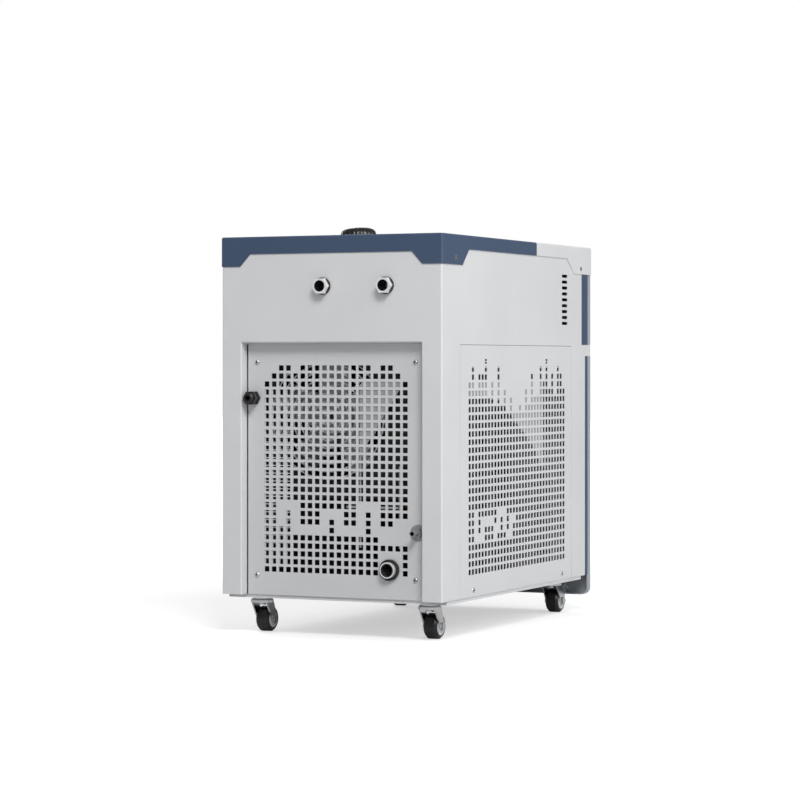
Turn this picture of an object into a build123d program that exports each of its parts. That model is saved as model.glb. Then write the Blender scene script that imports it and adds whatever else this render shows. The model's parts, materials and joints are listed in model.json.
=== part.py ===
from build123d import *
import os

os.makedirs("parts", exist_ok=True)

# Cabinet, in millimetres; the front faces -Y and the floor is Z = 0
cover_width = 364.0
casing_depth = 592.0
cabinet_height = 534.0
sheet = 1.2
skin_gap = 0.1
bend = 2.2
side_seam = 0.6

# Rear recess and its grille
recess_width = 296.0
recess_height = 376.0
recess_depth = 17.0
recess_flange = 27.0
hole_size = 8.0
hole_pitch = 12.0
hole_bottom = 38.4
hole_top = 32.0
hole_margin = 30.0

# Top covers
blue_length = 355.8
back_band = 26.0
side_band = 20.7
tab_drop = 44.4
cover_radius = 3.0

# Side panels and vents
panel_start = 63.8
panel_front = 87.0
panel_height = 373.0
vent_count = 9
vent_pitch = 9.44
vent_length = 23.3
vent_height = 5.0
vent_front = 127.7
vent_bottom = 409.1

# Front
upper_front_height = 159.0
divider_height = 18.0
upper_blue_depth = 27.0
lower_blue_depth = 12.0
rim_depth = 15.0
front_wall = 2.0
front_skirt = 33.0
key_out = 1.5
key_size = 14.0
louvre_count = 4
louvre_pitch = 4.7
louvre_half = 150.0

# Rear fittings
port_out = 12.0
port_bore = 16.5
port_hex = 22.0
port_flange = 25.0
port_tail = 20.0
port_inside = 16.0
port_height = 459.0
port_offsets = (11.8, -91.3)
gland_hex = 19.0
gland_bore = 8.0
gland_out = 22.0
gland_tail = 15.2
gland_edge = 12.7
gland_height = 293.5
barb_edge = 13.1
barb_height = 98.4
barb_bore = 6.0
barb_tube = 9.0
barb_out = 21.0
barb_disc = 24.0
barb_tail = 10.0
hole_play = 0.2
drain_edge = 58.6
drain_height = 43.2
drain_flange = 31.0
drain_ring = 23.4
drain_bore = 17.4
drain_out = 11.0
drain_tail = 14.0

# Filler
filler_depth = 95.0
cap_width = 57.0
cap_height = 15.0
cap_grips = 12
neck_width = 44.0
neck_bore = 38.0
neck_rise = 8.0

# Tank and its shelf
tank_width = 260.0
tank_length = 180.0
tank_behind = 60.0
tank_under_top = 24.0
tank_wall = 2.0
shelf_depth = 430.0
shelf_lip = 15.0
coil_tube = 5.0
coil_pitch = 36.0
coil_runs = 4
coil_half = 100.0

# Fan, shroud and condenser
fan_z = 325.0
fan_aside = 11.0
fan_margin = 27.0
shroud_side = 34.0
shroud_gap = 3.5
shroud_low = 205.0
shroud_depth = 60.0
core_depth = 38.0
guard_wire = 2.4
guard_steps = (60.0, 40.0, 20.0, 0.0)
blade_count = 5
motor_radius = 30.0

# Compressor, drier, pump and electrical box
comp_inward = 54.0
comp_depth = 228.0
comp_radius = 66.0
comp_height = 180.0
foot_height = 12.0
foot_reach = 58.0
drier_low = 96.0
drier_high = 172.0
drier_radius = 14.0
pump_x = 100.0
pump_radius = 30.0
pump_length = 90.0
hose_radius = 9.0
box_height = 240.0
pan_wall = 25.5

# Casters
housing_height = 9.0
wheel_clear = 7.0
base_drop = 5.5
wheel_width = 38.0
wheel_thick = 21.0
caster_trail = 16.0
caster_side = 41.7
caster_rear = 49.0
caster_front = 69.0
stem_radius = 4.0
stud_radius = 5.0
stud_height = 18.0
fork_sheet = 2.0
running_gap = 0.05

# Front controls
display_width = 120.0
display_height = 62.0
display_x = -30.0
display_rise = 98.0
key_rise = 34.0
key_xs = (-66.0, -40.0, -14.0)
key_flange = 1.2
switch_x = 120.0
switch_width = 22.0
switch_height = 30.0
rocker_pin = 1.2
louvre_slot = 1.2

# Levels and faces worked out from the sizes above
caster_height = wheel_width + wheel_clear + housing_height
lap = sheet + skin_gap
half = cover_width / 2
wrap_x = half - lap
inner_x = wrap_x - sheet
cab_z = caster_height + base_drop
top_z = cab_z + cabinet_height
back_y = (key_out + casing_depth - port_out) / 2
front_y = back_y - casing_depth
recess_x = recess_width / 2
recess_top = cab_z + recess_height
grille_y = back_y - recess_depth
flange_y = grille_y - sheet
wrap_length = casing_depth - rim_depth - upper_blue_depth
lower_end = casing_depth - rim_depth - lower_blue_depth
divider_top = top_z - upper_front_height
divider_low = divider_top - divider_height
wrap_front = back_y - wrap_length
pan_back = flange_y - sheet - skin_gap
shelf_z = cab_z + recess_height + 4.0


def span(x0, x1, y0, y1, z0, z1):
    """A block between two corners."""
    low, high = (min(x0, x1), min(y0, y1), min(z0, z1)), (max(x0, x1), max(y0, y1), max(z0, z1))
    size = [b - a for a, b in zip(low, high)]
    return Pos(*low) * Box(*size, align=(Align.MIN, Align.MIN, Align.MIN))


def rod_z(radius, x, y, z0, z1):
    return Pos(x, y, min(z0, z1)) * extrude(Circle(radius), abs(z1 - z0))


def rod_y(radius, x, z, y0, y1):
    return Pos(x, min(y0, y1), z) * Rot(-90, 0, 0) * extrude(Circle(radius), abs(y1 - y0))


def rod_x(radius, y, z, x0, x1):
    return Pos(min(x0, x1), y, z) * Rot(0, 90, 0) * extrude(Circle(radius), abs(x1 - x0))


def hex_y(across, x, z, y0, y1):
    flat = RegularPolygon(across / 2, 6, major_radius=False)
    return Pos(x, min(y0, y1), z) * Rot(-90, 0, 0) * extrude(flat, abs(y1 - y0))


def folded(points, side, radius=bend):
    """The section of a folded sheet along its seen face."""
    path = FilletPolyline(*points, radius=radius)
    return make_face(offset(path, amount=sheet, side=side).edges())


def plan(points, side, z0, z1):
    return Pos(0, 0, z0) * extrude(folded(points, side), z1 - z0)


def profile_x(face_yz, x0, x1):
    """A face drawn in (y, z) carried along X."""
    placed = Plane(origin=(x0, 0, 0), x_dir=(0, 1, 0), z_dir=(1, 0, 0)) * face_yz
    return extrude(placed, x1 - x0, dir=(1, 0, 0))


def profile_y(face_xz, y0, y1):
    """A face drawn in (x, z) carried along Y."""
    placed = Plane(origin=(0, y1, 0), x_dir=(1, 0, 0), z_dir=(0, -1, 0)) * face_xz
    return extrude(placed, y1 - y0, dir=(0, -1, 0))


def polygon(*points):
    return make_face(Polyline(*points, close=True))


def pipe(points, outer, corner):
    """A round pipe along straight runs, each corner cut across by a short one."""
    points = [Vector(*p) for p in points]
    route = [points[0]]
    for before, here, after in zip(points, points[1:], points[2:]):
        route.append(here + (before - here).normalized() * corner)
        route.append(here + (after - here).normalized() * corner)
    route.append(points[-1])
    section = Plane(origin=route[0], z_dir=(route[1] - route[0]).normalized()) * Circle(outer)
    return sweep(section, Polyline(*route), transition=Transition.RIGHT)


def turned(points, x, y, z):
    """A profile of (radius, height) turned about a vertical axis."""
    face = Plane.XZ * polygon(*points)
    return Pos(x, y, z) * revolve(face, Axis.Z)


def save(name, *solids):
    shape = solids[0] if len(solids) == 1 else Compound(children=list(solids))
    export_step(shape, f"parts/{name}.step")


# Folded wrap: back and both sides in one sheet, with the rear recess
wrap_top = top_z - sheet - 1.8
low_front = back_y - lower_end
left = [
    (-wrap_x, low_front),
    (-wrap_x, back_y),
    (-recess_x, back_y),
    (-recess_x, flange_y),
    (-recess_x + recess_flange, flange_y),
]
right = [(-x, y) for x, y in left]
step_z = recess_top + 12
wrap = plan(left, Side.RIGHT, cab_z, recess_top + sheet)
wrap += plan(right, Side.LEFT, cab_z, recess_top + sheet)
upper = plan([left[0], left[1], right[1], right[0]], Side.RIGHT, recess_top, wrap_top)
upper -= span(-recess_x, recess_x, grille_y, back_y + 1, recess_top - 1, step_z)
lintel = [(back_y, step_z), (back_y, recess_top), (flange_y, recess_top), (flange_y, recess_top - 24)]
wrap += upper + profile_x(folded(lintel, Side.RIGHT), -recess_x, recess_x)
wrap -= span(-half, half, low_front - 1, wrap_front, divider_top, top_z)
panel_low = front_y + panel_front
for side in (-1, 1):
    edge = (side * (inner_x - 1), side * (half + 1))
    wrap -= span(*edge, panel_low, back_y - panel_start, cab_z - 1, cab_z + panel_height)
    for k in range(vent_count):
        z = cab_z + vent_bottom + k * vent_pitch
        slot = Pos(front_y + vent_front - vent_length / 2, z) * SlotOverall(vent_length, vent_height)
        wrap -= profile_x(slot, *sorted(edge))
port_z = cab_z + port_height
for x in port_offsets:
    wrap -= rod_y(port_tail / 2 + hole_play, x, port_z, back_y - 3, back_y + 1)
gland_x, gland_z = recess_x - gland_edge, cab_z + gland_height
barb_x, barb_z = barb_edge - recess_x, cab_z + barb_height
drain_x, drain_z = drain_edge - recess_x, cab_z + drain_height
gland_hole, barb_hole = gland_tail / 2 + hole_play, barb_tail / 2 + hole_play
for x, z, r in ((gland_x, gland_z, gland_hole), (barb_x, barb_z, barb_hole)):
    wrap -= rod_y(r, x, z, flange_y - 3, flange_y + 1)
save("cabinet_wrap", wrap)

# Rear grille: square holes on a fixed pitch, with a stepped border left blank
blank_top = {0: (0, 1, 4, 15, 18, 19), 1: (0, 19)}
blank_motif = {
    17: (2, 3, 4, 13, 14, 15),
    18: (2, 4, 8, 9, 10, 13, 15),
    19: (2, 4, 8, 10, 13, 15, 18, 19),
    20: (4, 5, 6, 7, 8, 10, 11, 12, 13, 15, 16, 17, 18, 19),
    21: (16, 17, 18, 19),
}
grille_margin = bend + 0.2
grille_high = recess_height - grille_margin
grille_face = Pos(0, cab_z + grille_high / 2) * Rectangle(recess_width - 2 * grille_margin, grille_high)
grille_cut = []
hole_columns = int((recess_width - 2 * hole_margin) / hole_pitch) + 1
hole_rows = int((recess_height - hole_bottom - hole_top) / hole_pitch) + 1
first_x = (hole_columns - 1) * hole_pitch / 2
drain_clear = drain_flange / 2 + hole_size * 0.75
for row in range(hole_rows):
    z = cab_z + hole_bottom + (hole_rows - 1 - row) * hole_pitch
    for column in range(hole_columns):
        x = first_x - column * hole_pitch
        if column in blank_top.get(row, ()) + blank_motif.get(row, ()):
            continue
        if abs(x - drain_x) < drain_clear and abs(z - drain_z) < drain_clear:
            continue
        grille_cut.append(Pos(x, z) * Rectangle(hole_size, hole_size))
grille_cut.append(Pos(gland_x, gland_z) * Circle(gland_hole))
grille_cut.append(Pos(barb_x, barb_z) * Circle(barb_hole))
grille_cut.append(Pos(drain_x, drain_z) * Circle(drain_ring / 2 + hole_play / 2))
pierced = Sketch() + Face(grille_face.wire(), [cut.wire() for cut in grille_cut])
save("rear_grille", profile_y(pierced, flange_y, grille_y))

# Side panels: flat, with folded edges that stand inside the wrap
for side, name in ((-1, "right_side_panel"), (1, "left_side_panel")):
    y0, y1 = panel_low + side_seam, back_y - panel_start - side_seam
    z1 = cab_z + panel_height - side_seam
    plate = span(side * inner_x, side * wrap_x, y0, y1, cab_z, z1)
    top_fold = span(side * (inner_x - 9), side * inner_x, y0 + 4, y1 - 4, z1 - sheet, z1)
    plate += top_fold
    for y in (y0, y1 - sheet):
        plate += span(side * (inner_x - 9), side * inner_x, y, y + sheet, cab_z + 30, z1)
    save(name, plate)

# Top covers: folded caps with tabs at the corners
cover_back = back_y + lap
tab_z = top_z - tab_drop


def cap_shell(y0, y1, closed):
    """Half of the top: three skirts, with the closed end at the back (-1) or at the front (0)."""
    body = span(-half, half, y0, y1, tab_z, top_z)
    edges = body.edges().filter_by(Axis.Y).group_by(Axis.Z)[-1]
    edges += body.edges().filter_by(Axis.X).group_by(Axis.Z)[-1].group_by(Axis.Y)[closed]
    edges += body.edges().filter_by(Axis.Z).group_by(Axis.Y)[closed]
    body = fillet(edges, cover_radius)
    open_end = body.faces().sort_by(Axis.Y)[-1 - closed]
    openings = [body.faces().sort_by(Axis.Z)[0], open_end]
    return offset(body, amount=-sheet, openings=openings, kind=Kind.INTERSECTION)


blue_front = back_y - blue_length
rear_cover = cap_shell(blue_front, cover_back, -1)
side_cut = polygon(
    (back_y - 71.0, tab_z - 1),
    (back_y - 71.0, tab_z),
    (back_y - 94.6, top_z - side_band),
    (blue_front - 1, top_z - side_band),
    (blue_front - 1, tab_z - 1),
)
rear_cover -= profile_x(side_cut, -half - 1, half + 1)
slope_low, slope_high = wrap_x - 31.0, wrap_x - 47.8
back_cut = polygon(
    (-slope_low, tab_z - 1),
    (-slope_low, tab_z),
    (-slope_high, top_z - back_band),
    (slope_high, top_z - back_band),
    (slope_low, tab_z),
    (slope_low, tab_z - 1),
)
rear_cover -= profile_y(back_cut, back_y - 5, cover_back + 1)
filler_y = back_y - filler_depth
rear_cover -= rod_z(neck_width / 2 + 0.3, 0, filler_y, top_z - 4, top_z + 1)
save("rear_top_cover", rear_cover)

grey_back = blue_front - 0.4
front_cover = cap_shell(front_y, grey_back, 0)
front_cut = polygon(
    (grey_back + 1, tab_z - 1),
    (grey_back + 1, top_z - side_band),
    (front_y + 107.8, top_z - side_band),
    (front_y + 77.4, tab_z),
    (front_y + 77.4, tab_z - 1),
)
front_cover -= profile_x(front_cut, -half - 1, half + 1)
front_cover -= profile_y(back_cut, front_y - 1, front_y + 5)
save("front_top_cover", front_cover)

# Base tray with walls all round
pan_top = caster_height + sheet
pan_high = caster_height + pan_wall
pan = span(-inner_x, inner_x, wrap_front, pan_back, caster_height, pan_high)
pan -= span(sheet - inner_x, inner_x - sheet, wrap_front + sheet, pan_back - sheet, pan_top, pan_high + 1)
casters = []
for name, y in (("rear", back_y - caster_rear), ("front", front_y + caster_front)):
    for hand, side in (("right", -1), ("left", 1)):
        casters.append((f"{name}_{hand}", side * (wrap_x - caster_side), y))
for _, x, y in casters:
    pan -= rod_z(stud_radius + hole_play, x, y, caster_height - 1, caster_height + 3)
save("base_pan", pan)

# Front: blue frames, grey panels and the light band between them
front_seam = 0.2
face_y = front_y + lap
rim_y = front_y + rim_depth
front_top = top_z - sheet - 1.8
w = front_wall


def ring(y0, y1, z0, z1):
    body = span(-wrap_x, wrap_x, y0, y1, z0, z1)
    return body - span(-wrap_x + w, wrap_x - w, y0 - 1, y1 + 1, z0 + w, z1 - w)


save("upper_front_frame", ring(rim_y, wrap_front - front_seam, divider_top, front_top))
low_frame = ring(rim_y, low_front - front_seam, cab_z + 2, divider_low)
save("lower_front_frame", low_frame)
band = ring(face_y + 2, low_front - front_seam, divider_low, divider_top)
band += span(-wrap_x + w, wrap_x - w, face_y + 2, face_y + 2 + w, divider_low + w, divider_top - w)
save("front_band", band)


def front_tray(z0, z1, radius, corner):
    body = span(-wrap_x, wrap_x, face_y, rim_y, z0, z1)
    face = body.faces().sort_by(Axis.Y)[0]
    if corner:
        low = body.edges().filter_by(Axis.Y).group_by(Axis.Z)[0]
        body = fillet(low, corner)
        face = body.faces().sort_by(Axis.Y)[0]
    body = chamfer(face.edges(), radius)
    back = body.faces().sort_by(Axis.Y)[-1]
    return offset(body, amount=-w, openings=[back], kind=Kind.INTERSECTION)


upper_panel = front_tray(divider_top, front_top, 1.5, 0)
display_z, key_z = divider_top + display_rise, divider_top + key_rise
x0, x1 = display_x - display_width / 2, display_x + display_width / 2
z0, z1 = display_z - display_height / 2, display_z + display_height / 2
upper_panel -= span(x0, x1, face_y - 1, face_y + 5, z0, z1)
for x in key_xs:
    upper_panel -= rod_y(key_size / 2 + 0.3, x, key_z, face_y - 1, face_y + 5)
sx, sz = switch_width / 2, switch_height / 2
upper_panel -= span(switch_x - sx, switch_x + sx, face_y - 1, face_y + 5, key_z - sz, key_z + sz)
save("upper_front_panel", upper_panel)
lower_panel = front_tray(cab_z - front_skirt, divider_low, 1.5, 12.0)
for k in range(louvre_count):
    z = divider_low - 3.5 - k * louvre_pitch
    lower_panel -= span(-louvre_half, louvre_half, face_y - 1, face_y + 5, z - louvre_slot, z)
save("lower_front_panel", lower_panel)

# Display window, keys, key board and the power switch
window_y = face_y + 2.4
save("display_window", span(x0, x1, face_y + 0.4, window_y, z0, z1))
board_y = window_y + 4.0
board = span(x0 - 10, x1 + 10, board_y, board_y + 1.6, divider_top + 14, top_z - 12)
board += span(x0 + 4, x1 - 4, window_y, board_y, z0 + 4, z1 - 4)
save("control_board", board)
for number, x in enumerate(key_xs, 1):
    key_back = face_y + w + 0.2
    key = rod_y(key_size / 2, x, key_z, front_y - key_out, key_back)
    key = chamfer(key.edges().group_by(Axis.Y)[0], 0.6)
    key += rod_y(key_size / 2 + key_flange, x, key_z, key_back, key_back + key_flange)
    save(f"panel_key_{number}", key)
housing = span(switch_x - sx, switch_x + sx, face_y - 0.8, face_y + 16, key_z - sz, key_z + sz)
pocket = span(2 - sx, sx - 2, face_y - 2, face_y + 9, 2 - sz, sz - 2)
housing -= Pos(switch_x, 0, key_z) * pocket
pivot_y, pin_x = face_y + 4.0, sx - 1.0
pin = rocker_pin + running_gap
housing -= rod_x(pin, pivot_y, key_z, switch_x - pin_x - 0.2, switch_x + pin_x + 0.2)
save("switch_housing", housing)
rocker_y = face_y + 5.5
rocker_face = polygon(
    (face_y + 0.4, -sz + 2.6), (face_y + 0.4, -1.0), (face_y - 1.2, sz - 2.6),
    (rocker_y, sz - 3.6), (rocker_y + 2.4, 0), (rocker_y, -sz + 3.6),
)
rocker = Pos(0, 0, key_z) * profile_x(rocker_face, switch_x - sx + 2.3, switch_x + sx - 2.3)
rocker += rod_x(rocker_pin, pivot_y, key_z, switch_x - pin_x, switch_x + pin_x)
save("power_rocker", rocker)

# Rear hose ports, chrome, with a locknut inside
for name, x in zip(("outlet_port", "inlet_port"), port_offsets):
    port = rod_y(port_flange / 2, x, port_z, back_y, back_y + 3)
    port += rod_y(port_hex / 2 - 1, x, port_z, back_y + 3, back_y + 5)
    port += hex_y(port_hex, x, port_z, back_y + 5, back_y + port_out)
    port += rod_y(port_tail / 2, x, port_z, back_y - port_inside, back_y)
    port -= rod_y(port_bore / 2, x, port_z, back_y - port_inside - 1, back_y + port_out + 1)
    save(name, port)

# Cable gland, barb and drain on the grille plate
gland = hex_y(gland_hex, gland_x, gland_z, grille_y, grille_y + 5)
gland += rod_y(8.2, gland_x, gland_z, grille_y + 5, grille_y + 9)
gland += rod_y(gland_tail / 2, gland_x, gland_z, grille_y - 12, grille_y)
gland -= rod_y(gland_bore / 2, gland_x, gland_z, grille_y - 13, grille_y + 10)
save("cable_gland", gland)
dome = hex_y(gland_hex, gland_x, gland_z, grille_y + 9, grille_y + gland_out - 5)
dome += rod_y(8.4, gland_x, gland_z, grille_y + gland_out - 5, grille_y + gland_out)
dome = chamfer(dome.edges().group_by(Axis.Y)[-1], 2.0)
dome -= rod_y(gland_bore / 2, gland_x, gland_z, grille_y + 8, grille_y + gland_out + 1)
save("gland_dome_nut", dome)
barb = rod_y(barb_tail / 2, barb_x, barb_z, grille_y - 10, grille_y + 1.5)
barb += rod_y(barb_disc / 2, barb_x, barb_z, grille_y, grille_y + 1.5)
barb += hex_y(13, barb_x, barb_z, grille_y + 1.5, grille_y + 6)
barb += rod_y(barb_tube / 2, barb_x, barb_z, grille_y + 6, grille_y + barb_out)
barb -= rod_y(barb_bore / 2, barb_x, barb_z, grille_y - 11, grille_y + barb_out + 1)
save("overflow_barb", barb)
flange = rod_y(drain_flange / 2, drain_x, drain_z, grille_y, grille_y + 5)
save("drain_flange", flange - rod_y(drain_ring / 2, drain_x, drain_z, grille_y - 1, grille_y + 6))
drain_back, drain_front = grille_y - drain_tail, grille_y + drain_out
spout = rod_y(drain_ring / 2, drain_x, drain_z, drain_back, drain_front)
spout -= rod_y(drain_bore / 2, drain_x, drain_z, drain_back - 1, drain_front + 1)
save("drain_port", spout)

# Filler neck, gasket and cap
shelf_top = shelf_z + sheet
tank_low, tank_high = shelf_top, top_z - tank_under_top
tank_x, tank_y1 = tank_width / 2, back_y - tank_behind
tank_y0 = tank_y1 - tank_length
neck_top = top_z + neck_rise
neck = rod_z(neck_width / 2, 0, filler_y, tank_high + 2.0, neck_top)
neck += rod_z(neck_width / 2 + 5, 0, filler_y, top_z - sheet - 3, top_z - sheet)
neck += rod_z(neck_width / 2 + 6, 0, filler_y, tank_high, tank_high + 2.0)
neck -= rod_z(neck_bore / 2, 0, filler_y, tank_high - 1, neck_top + 1)
save("filler_neck", neck)
gasket_top = neck_top + 2
gasket = rod_z(neck_width / 2, 0, filler_y, neck_top, gasket_top)
save("cap_gasket", gasket - rod_z(neck_bore / 2 + 1, 0, filler_y, neck_top - 1, gasket_top + 1))
cap = rod_z(cap_width / 2, 0, filler_y, top_z + 0.3, top_z + cap_height)
cap = chamfer(cap.edges().group_by(Axis.Z)[-1], 3.5)
cap -= rod_z(neck_width / 2 + 0.3, 0, filler_y, top_z, gasket_top + 0.3)
notch = Pos(cap_width / 2, 0) * Rot(0, 0, 45) * Rectangle(2.4, 2.4)
for k in range(cap_grips):
    placed = Pos(0, filler_y, top_z) * Rot(0, 0, k * 360 / cap_grips) * notch
    cap -= extrude(placed, cap_height - 4)
save("filler_cap", cap)

# Shelf and tank
capillary_radius, suction_radius = 1.6, 6.0
shroud_x0 = shroud_side - recess_x
shroud_x1 = gland_x - gland_hole - shroud_gap
capillary_x, capillary_y = shroud_x0 - 10.0, back_y - 147
comp_x, comp_y = shroud_x0 + comp_inward, back_y - comp_depth
suction_x, suction_y = comp_x, comp_y + 36
shelf_front = back_y - shelf_depth
shelf_lip_z = shelf_top + shelf_lip
shelf = span(-inner_x, inner_x, shelf_front, flange_y - sheet - 0.4, shelf_z, shelf_top)
shelf += span(-inner_x, inner_x, shelf_front, shelf_front + sheet, shelf_top, shelf_lip_z)
for side in (-1, 1):
    edge = (side * inner_x, side * (inner_x - sheet))
    shelf += span(*edge, shelf_front, flange_y - 3, shelf_top, shelf_lip_z)
shelf -= rod_z(capillary_radius * 2, capillary_x, capillary_y, shelf_z - 1, shelf_top + 1)
shelf -= rod_z(suction_radius + 1.5, suction_x, suction_y, shelf_z - 1, shelf_top + 1)
save("tank_shelf", shelf)
tank = span(-tank_x, tank_x, tank_y0, tank_y1, tank_low, tank_high)
tank = fillet(tank.edges().filter_by(Axis.Z), 8)
t = tank_wall
hollow = span(t - tank_x, tank_x - t, tank_y0 + t, tank_y1 - t, tank_low + t, tank_high - t)
tank -= fillet(hollow.edges().filter_by(Axis.Z), 8 - t)
tank -= rod_z(neck_bore / 2 + 1, 0, filler_y, tank_high - t - 1, tank_high + 1)
save("reservoir", tank)

# Evaporator: a flat serpentine tube on the tank floor
coil_z = tank_low + tank_wall + coil_tube
coil_y = (tank_y0 + tank_y1 - (coil_runs - 1) * coil_pitch) / 2
points = []
for k in range(coil_runs):
    side = -1 if k % 2 == 0 else 1
    y = coil_y + k * coil_pitch
    points += [(side * coil_half, y, coil_z), (-side * coil_half, y, coil_z)]
save("evaporator_tube", pipe(points, coil_tube, coil_pitch / 3))

# Fan behind the rear grille, with its shroud, guard, motor and rotor
fan_x = (shroud_x0 + shroud_x1) / 2 + fan_aside
fan_radius = (shroud_x1 - shroud_x0) / 2 - fan_margin
guard_rings = [fan_radius - step for step in guard_steps]
guard_y = flange_y - sheet - 3
shroud_y = guard_y - 4
core_y = shroud_y - shroud_depth
shroud = span(shroud_x0, shroud_x1, shroud_y - sheet, shroud_y, shroud_low, shelf_z)
shroud += span(shroud_x0, shroud_x1, core_y, shroud_y, shelf_z - sheet, shelf_z)
shroud += span(shroud_x0, shroud_x1, core_y, shroud_y, shroud_low, shroud_low + sheet)
for x in (shroud_x0, shroud_x1 - sheet):
    shroud += span(x, x + sheet, core_y, shroud_y, shroud_low, shelf_z)
shroud -= rod_y(fan_radius + 4, fan_x, fan_z, shroud_y - 3, shroud_y + 1)
save("fan_shroud", shroud)
guard = Sketch()
for radius in guard_rings:
    guard += Circle(radius + guard_wire / 2) - Circle(radius - guard_wire / 2)
arm_in, arm_out = guard_rings[0], fan_radius + 9
for k in range(4):
    arm = Pos((arm_in + arm_out) / 2, 0) * Rectangle(arm_out - arm_in, guard_wire)
    guard += Rot(0, 0, 45 + 90 * k) * arm
wires = profile_y(Pos(fan_x, fan_z) * guard, guard_y - 2, guard_y)
for k in range(4):
    foot = Rot(0, 0, 45 + 90 * k) * Pos(arm_out, 0) * Circle(4)
    wires += profile_y(Pos(fan_x, fan_z) * foot, shroud_y, guard_y)
save("fan_guard", wires)
motor_y = core_y + 2
motor = rod_y(motor_radius, fan_x, fan_z, motor_y, motor_y + 26)
motor += rod_y(4, fan_x, fan_z, motor_y + 26, motor_y + 46)
for k in range(3):
    strut = Rot(0, 0, 90 + 120 * k) * Pos(96, 0) * Rectangle(140, 6)
    motor += profile_y(Pos(fan_x, fan_z) * strut, motor_y, motor_y + 3)
room_x = (shroud_x0 + sheet, shroud_x1 - sheet)
motor &= span(*room_x, core_y, shroud_y, shroud_low + sheet, shelf_z - sheet)
save("fan_motor", motor)
hub_y0, hub_y1 = motor_y + 27, motor_y + 45
rotor = rod_y(26, fan_x, fan_z, hub_y0, hub_y1)
ring = profile_y(Pos(fan_x, fan_z) * (Circle(fan_radius) - Circle(24)), hub_y0, hub_y1)
for k in range(blade_count):
    arc = ThreePointArc((-24, hub_y0 + 2), (2, hub_y0 + 6), (24, hub_y1 - 2))
    section = make_face(offset(arc, amount=1.6, side=Side.LEFT).edges())
    placed = Plane(origin=(0, 0, 20), x_dir=(1, 0, 0), z_dir=(0, 0, 1)) * section
    blade = extrude(placed, fan_radius + 10)
    blade = Pos(fan_x, 0, fan_z) * Rot(0, 360 / blade_count * k, 0) * blade
    rotor += blade & ring
rotor -= rod_y(4 + running_gap, fan_x, fan_z, hub_y0 - 1, hub_y1 + 1)
save("fan_rotor", rotor)

# Condenser: a finned core in front of the fan, between flanged end plates
core_front = core_y - core_depth
core = span(shroud_x0, shroud_x1, core_front, core_y, shroud_low, shelf_z)
for x0, x1 in ((shroud_x0, shroud_x0 + 2), (shroud_x1 - 2, shroud_x1)):
    core += span(x0, x1, core_front - 6, core_front, shroud_low, shelf_z)
save("condenser", core)

# Compressor on rubber feet
base_z = pan_top + foot_height
grommets = []
for side_x in (-1, 1):
    for side_y in (-1, 1):
        x, y = comp_x + side_x * foot_reach, comp_y + side_y * foot_reach
        grommets.append(rod_z(9, x, y, pan_top, base_z))
save("compressor_grommets", *grommets)
saddle = Pos(comp_x, comp_y, base_z) * extrude(RectangleRounded(136, 136, 16), 3)
low_z, high_z = base_z + 3, base_z + comp_height
shape = [(0, low_z), (comp_radius - 14, low_z), (comp_radius, low_z + 22)]
shape += [(comp_radius, high_z - 40), (comp_radius - 8, high_z - 18)]
shape += [(comp_radius - 26, high_z - 4), (0, high_z)]
compressor = saddle + turned(shape, comp_x, comp_y, 0)
stub_top = high_z + 8
compressor += rod_z(suction_radius + 1.5, suction_x, suction_y, high_z - 40, stub_top)
delivery_x, delivery_y, delivery_z = comp_x - 36, comp_y, stub_top + 34
compressor += rod_z(6, delivery_x, delivery_y, high_z - 40, stub_top)
save("compressor", compressor)
copper = [rod_z(suction_radius, suction_x, suction_y, stub_top, tank_low)]
route = [(delivery_x, delivery_y, stub_top), (delivery_x, delivery_y, delivery_z)]
route.append((delivery_x, core_front, delivery_z))
copper.append(pipe(route, 4.5, 10))

# Liquid line, filter drier and capillary
line_x, line_y = shroud_x0 + 58.0, core_y - core_depth / 2
line_z = drier_high + 20
route = [(line_x, line_y, shroud_low), (line_x, line_y, line_z)]
route += [(capillary_x, line_y, line_z), (capillary_x, line_y, drier_high)]
copper.append(pipe(route, 3.2, 7))
taper = drier_radius
shape = [(0, drier_low), (4, drier_low), (drier_radius, drier_low + taper)]
shape += [(drier_radius, drier_high - taper), (4, drier_high), (0, drier_high)]
save("filter_drier", turned(shape, capillary_x, line_y, 0))
loop_z = drier_low - 16
route = [(capillary_x, line_y, drier_low), (capillary_x, line_y, loop_z)]
route += [(capillary_x, capillary_y, loop_z), (capillary_x, capillary_y, tank_low)]
copper.append(pipe(route, capillary_radius, 7))
save("refrigerant_pipes", *copper)

# Circulation pump on the shelf, with its hoses
pump_z, hose_x, hose_y = shelf_top + 36, pump_x + 56, back_y - 37
pump_y0 = shelf_front + 24
pump_y1 = pump_y0 + pump_length
head_y = pump_y1 + 15
pump = rod_y(pump_radius, pump_x, pump_z, pump_y0, pump_y1)
pump += span(pump_x - 24, pump_x + 24, pump_y0 + 20, pump_y1 - 20, shelf_top, pump_z - 20)
save("pump_motor", pump)
head = rod_y(pump_radius + 4, pump_x, pump_z, pump_y1, pump_y1 + 30)
head += rod_x(hose_radius, head_y, pump_z, pump_x, hose_x)
outlet_z = pump_z + hose_radius
head += rod_z(hose_radius, hose_x, head_y, pump_z, outlet_z)
save("pump_head", head)
tail_y = back_y - port_inside
hoses = [rod_y(hose_radius, pump_x, pump_z, pump_y1 + 30, tank_y0)]
supply = [(port_offsets[0], tail_y, port_z), (port_offsets[0], hose_y, port_z)]
supply += [(hose_x, hose_y, port_z), (hose_x, head_y, port_z), (hose_x, head_y, outlet_z)]
hoses.append(pipe(supply, hose_radius, 12))
hoses.append(rod_y(hose_radius, port_offsets[1], port_z, tank_y1, tail_y))
save("water_hoses", *hoses)

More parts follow.
